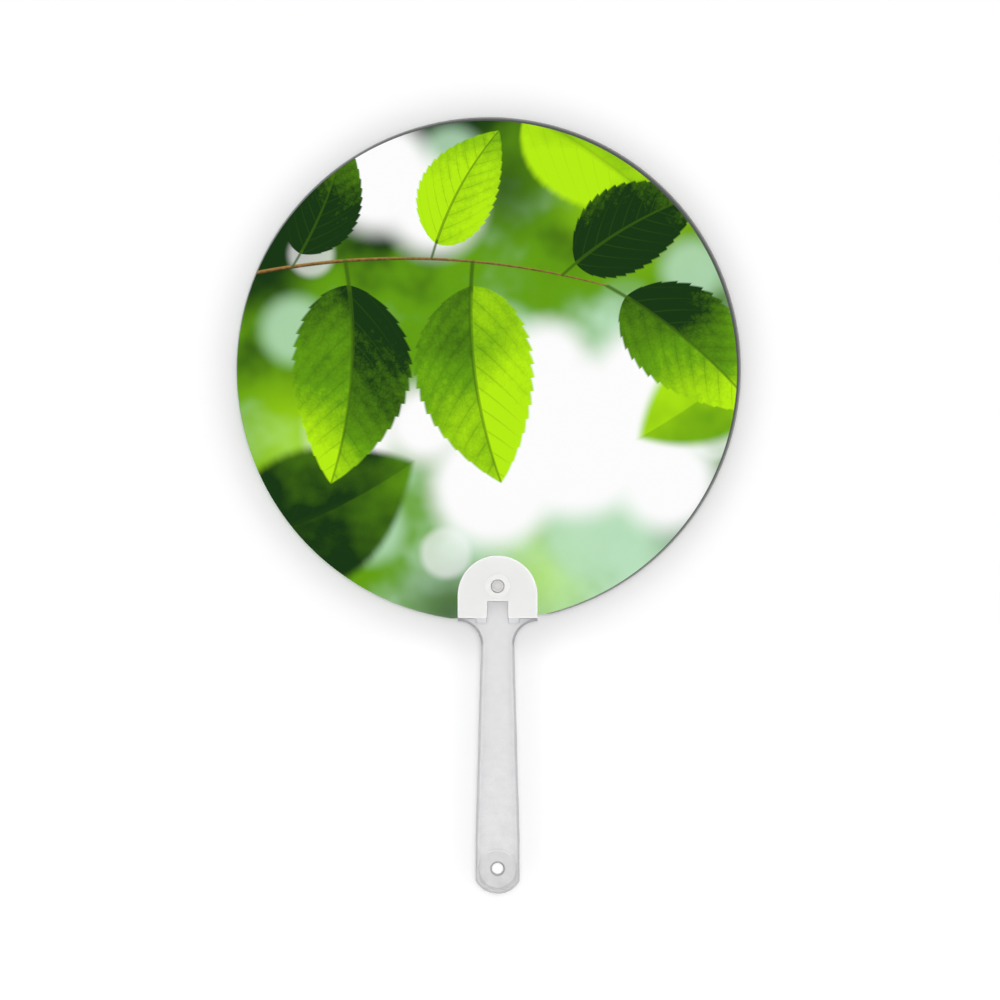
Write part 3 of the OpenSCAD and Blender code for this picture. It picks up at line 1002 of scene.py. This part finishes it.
        # Veins, and the stalk that runs on from the midrib
        side_veins = self.ramp(ridge, 0.84, 0.98) * self.ramp(aside / self.higher(half, 0.01), 1, 0.3)
        rib = self.ramp(aside - self.ramp(along, 0, 1, 0.009, 0.002), 0.003 + blur * 0.4, 0)
        veins = self.higher(side_veins * 0.3, rib * 0.7) * sharp
        dark = [part * 0.35 for part in self.colours.leaf]
        self.lay(mask, self.mix(veins, tint, dark))
        stem = self.ramp(aside, 0.009 + blur, 0.005) * self.ramp(along, -stalk - 0.01, -stalk)
        self.lay(stem * self.ramp(along, 0.04, 0.02) * sharp, dark)

    def paper(self):
        """The laminated sheet itself, with bare paper round the hole that the peg goes through."""
        peg_y = -np.linalg.norm(SHEET_CENTRE) / SHEET_RADIUS
        self.lay(self.ramp(self.distance(self.sheet, (0, peg_y, 0)), 0.036, 0.034), self.colours.paper)
        fibre = self.noise(self.sheet, 260)
        return self.finish(
            base_color=self.shade(self.tint, self.ramp(fibre, 0.3, 0.7, 0.975, 1.02)),
            roughness=self.ramp(fibre, 0.3, 0.7, 0.4, 0.5), specular_ior_level=0.06,
            normal=self.bump(fibre, 0.006 * MM))


def front_picture(colours):
    """Leaves that hang from a twig across the upper half, over a bright clearing."""
    sheet = Print("front_print", colours, 3.7)
    sheet.distance_haze((0.16, -0.26), 1.3, 0.5)
    sheet.discs(colours.lime, 0.6, 0.2, (0.62, 0.66, 0.2), (-0.76, -0.26, 0.2), (0.16, -0.84, 0.14))
    sheet.discs(colours.deep, 0.75, 0.18, (-0.92, 0.5, 0.18), (0.1, 0.74, 0.16), (0.9, 0.16, 0.12),
                (0.9, -0.66, 0.2), (-0.2, -0.96, 0.14))
    sheet.discs(colours.mint, 0.75, 0.05, (-0.76, 0.2, 0.13), (0.84, 0.36, 0.12), (-0.1, 0.86, 0.12),
                (-0.5, -0.6, 0.14), (0.06, 0.12, 0.14), (0.4, -0.66, 0.2))
    sheet.discs(WHITE, 1, 0.07, (0.34, -0.28, 0.32), (0.68, -0.1, 0.26), (0.0, -0.46, 0.24),
                (0.7, -0.48, 0.19), (-0.4, 0.8, 0.22), (-0.18, 0.66, 0.18), (-0.26, -0.2, 0.15),
                (-0.54, -0.22, 0.17), (0.24, 0.02, 0.16))
    sheet.discs(WHITE, 0.5, 0.02, (-0.2, -0.72, 0.1), (0.9, -0.3, 0.1), (-0.68, 0.5, 0.09),
                (0.46, 0.86, 0.08))
    sheet.leaf((1.1, 0.02), 212, 0.62, (0.6, 0.75), 0.2, 0.1, 0.36, 0.05, 0)
    sheet.leaf((-1.04, -0.64), 22, 0.8, (0.1, 0.2), 0.3, -0.2, 0.38, 0.035, 0)
    sheet.leaf((0.2, 1.02), -38, 0.7, (0.8, 0.95), 0.2, 0.15, 0.34, 0.03, 0)
    sheet.branch(
        (-1.0, 0.42), -4, 1.5, 0.25,
        (0.16, 66, 0.5, (0.2, 0.1), 0.3, -0.15),
        (0.3, -98, 0.8, (0.24, 0.5), 1.2, 0.22),
        (0.53, 58, 0.52, (0.85, 0.7), -0.3, 0.2),
        (0.64, -84, 0.8, (0.85, 0.5), 0.6, -0.2),
        (0.88, 26, 0.58, (0.2, 0.05), 0.4, 0.2),
        (1, -44, 0.7, (0.3, 0.55), 1.1, 0.18))
    return sheet.paper()


def rear_picture(colours):
    """Leaves on a twig that rises from below, with a bright clearing above them."""
    sheet = Print("rear_print", colours, 9.1)
    sheet.distance_haze((-0.2, 0.3), 1.1, 0.6)
    sheet.discs(colours.lime, 0.5, 0.2, (-0.6, -0.5, 0.2), (0.7, -0.2, 0.2))
    sheet.discs(colours.mint, 0.7, 0.04, (-0.7, 0.3, 0.14), (0.74, 0.4, 0.12), (0.2, -0.1, 0.12))
    sheet.discs(WHITE, 0.95, 0.07, (0.1, 0.6, 0.26), (-0.3, 0.42, 0.2), (0.42, 0.36, 0.16),
                (-0.5, 0.7, 0.15))
    sheet.leaf((-1.0, 0.1), -20, 0.7, (0.2, 0.4), 0.1, 0.1, 0.34, 0.04, 0)
    sheet.branch(
        (0.5, -0.95), 118, 1.3, -0.2,
        (0.3, 40, 0.64, (0.7, 0.2), 0.2),
        (0.48, 168, 0.7, (0.9, 0.5), -0.2, -0.2),
        (0.68, 52, 0.62, (0.1, 0.35), 0.4),
        (0.84, 158, 0.58, (0.2, 0.65), 0.3, -0.2),
        (1, 112, 0.5, (0.6, 0.9), 0.2, 0.1))
    return sheet.paper()


# The floor and the air of the picture

def white_floor(stage):
    """A white floor that keeps the fan's shadow and glows a little where the picture is brightest.

    The glow rises away from the blade, rises again beside the stem, and fills the hang hole.
    Places are millimetres from the peg.
    """
    paint = Paint("white_floor")
    shown = paint.shown_rays()
    lit = paint.node("BsdfDiffuse", inputs={"Color": paint.mix(shown, (0.8, 0.8, 0.8), WHITE)})
    place = paint.place()
    from_blade = paint.from_axis(place, SHEET_CENTRE / MM) - SHEET_RADIUS / MM
    from_hole = paint.from_axis(place, HOLE_CENTRE / MM) - HOLE_RADIUS / MM
    glow = paint.ramp(from_blade, 3, 20, 0, stage.floor_glow, ease=True)
    glow = glow + paint.ramp(paint.parts(place)[1], -16, -34, 0, stage.lower_glow, ease=True)
    glow = paint.pick(paint.ramp(from_hole, 0.8, 0.6), glow, stage.hole_glow)
    glow = paint.node("Emission", inputs={"Color": paint.mix(shown * glow, (0, 0, 0), WHITE)})
    surface = paint.node("AddShader", inputs={0: lit, 1: glow})
    paint.node("OutputMaterial", inputs={"Surface": surface})
    return paint.material


def studio_air(stage):
    """Light from all round, eased from the horizon to overhead, and white where it is looked at."""
    world = bpy.data.worlds.new("studio")
    world.use_nodes = True
    air = Nodes(world.node_tree)
    height = air.parts(air.node("TexCoord", output="Generated"))[2]
    glow = air.ramp(height, 0.28, 0.48, stage.horizon, stage.overhead, ease=True)
    strength = air.pick(air.shown_rays(), glow, 1)
    light = air.node("Background", inputs={"Color": WHITE, "Strength": strength})
    air.node("OutputWorld", inputs={"Surface": light})
    return world


# One operator for each piece or group of like pieces, and one for the stage

class FAN_OT_handle(bpy.types.Operator):
    """Builds the handle: stem, shoulders, rear head plate, tongue and peg"""
    bl_idname = "fan.handle"
    bl_label = "Handle"

    def execute(self, context):
        sizes, colours = context.scene.fan_handle, context.scene.fan_colours
        material = frosted_plastic(colours, sizes)
        handle = handle_skin(sizes).piece("handle_moulding", material)
        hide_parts("handle")
        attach(handle, "handle")
        return {"FINISHED"}


class FAN_OT_hinge_webs(bpy.types.Operator):
    """Builds the two webs of the living hinge, which bend as the flap opens"""
    bl_idname = "fan.hinge_webs"
    bl_label = "Hinge Webs"

    def execute(self, context):
        sizes = context.scene.fan_flap
        material = bpy.data.materials["frosted_plastic"]
        for side, node in ((-1, "hinge_web_left"), (1, "hinge_web_right")):
            web = web_skin(sizes, side).piece(node.replace("hinge", "bending"), material)
            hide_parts(node)
            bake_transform(web)
        return {"FINISHED"}


class FAN_OT_flap(bpy.types.Operator):
    """Builds the front flap with its notch and its ringed hole"""
    bl_idname = "fan.flap"
    bl_label = "Front Flap"

    def execute(self, context):
        sizes, colours = context.scene.fan_flap, context.scene.fan_colours
        flap = flap_skin(sizes).piece("flap_moulding", white_plastic(colours, sizes))
        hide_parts("front_flap")
        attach(flap, "flap")
        return {"FINISHED"}


class FAN_OT_blade(bpy.types.Operator):
    """Builds the layers of the blade: the stiff board and the printed sheets on both its faces"""
    bl_idname = "fan.blade"
    bl_label = "Blade"

    def execute(self, context):
        sizes, colours = context.scene.fan_blade, context.scene.fan_colours
        for node, name, slot, finish, edge_round in (
                ("core_board", "card_board", "grey_board", grey_board, sizes.board_round),
                ("front_print", "front_sheet", "front_print", front_picture, sizes.sheet_round),
                ("rear_print", "rear_sheet", "rear_print", rear_picture, sizes.sheet_round)):
            layer = layer_skin(sizes, node, edge_round).piece(name, finish(colours))
            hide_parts(node)
            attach(layer, "blade")
        return {"FINISHED"}


class FAN_OT_stage(bpy.types.Operator):
    """Sets up the floor, the lights and the camera"""
    bl_idname = "fan.stage"
    bl_label = "Stage"

    def execute(self, context):
        scene, stage = context.scene, context.scene.fan_stage
        scene.view_settings.view_transform = "Standard"
        scene.world = studio_air(stage)

        mesh = bpy.data.meshes.new("floor")
        corners = ring((0, 0), stage.floor_reach, 4)
        mesh.from_pydata([(x, y, -stage.floor_gap) for x, y in corners], [], [(0, 1, 2, 3)])
        mesh.materials.append(white_floor(stage))
        floor = bpy.data.objects.new("floor", mesh)
        scene.collection.objects.link(floor)

        lamp = bpy.data.lights.new("key", "SUN")
        lamp.energy = stage.key_strength
        lamp.angle = stage.key_width
        key = bpy.data.objects.new("key", lamp)
        key.rotation_euler = (0, math.pi / 2 - stage.key_height, stage.key_turn)
        scene.collection.objects.link(key)

        camera = bpy.data.cameras.new("camera")
        camera.lens = camera.sensor_width * stage.camera_height / stage.view_width
        camera.clip_end = 4 * stage.camera_height
        view = bpy.data.objects.new("camera", camera)
        peg_from_middle = (np.array(PEG_PIXEL) - PHOTO_PIXELS / 2) * stage.view_width / PHOTO_PIXELS
        view.location = (PEG[0] - peg_from_middle[0], PEG[1] + peg_from_middle[1],
                         SHEET_HIGH[2] + stage.camera_height)
        scene.collection.objects.link(view)
        scene.camera = view
        return {"FINISHED"}


class FAN_PT_pieces(bpy.types.Panel):
    """Lists the pieces to build, and their sizes and colours"""
    bl_idname = "FAN_PT_pieces"
    bl_label = "Round Card Fan"
    bl_space_type = "VIEW_3D"
    bl_region_type = "UI"
    bl_category = "Fan"

    def draw(self, context):
        for operator in OPERATORS:
            self.layout.operator(operator.bl_idname)
        for name in GROUPS:
            box = self.layout.box()
            group = getattr(context.scene, name)
            for item in group.__annotations__:
                box.prop(group, item)


GROUPS = {
    "fan_handle": FanHandleSizes, "fan_flap": FanFlapSizes, "fan_blade": FanBladeSizes,
    "fan_colours": FanColours, "fan_stage": FanStage,
}
OPERATORS = (FAN_OT_handle, FAN_OT_hinge_webs, FAN_OT_flap, FAN_OT_blade, FAN_OT_stage)


def register():
    for group in (*GROUPS.values(), *OPERATORS, FAN_PT_pieces):
        bpy.utils.register_class(group)
    for name, group in GROUPS.items():
        setattr(bpy.types.Scene, name, PointerProperty(type=group))


def unregister():
    for name in GROUPS:
        delattr(bpy.types.Scene, name)
    for group in (FAN_PT_pieces, *reversed(OPERATORS), *GROUPS.values()):
        bpy.utils.unregister_class(group)


def main():
    register()
    for operator in OPERATORS:
        name = operator.bl_idname.split(".")[1]
        getattr(bpy.ops.fan, name)()


if __name__ == "__main__":
    main()
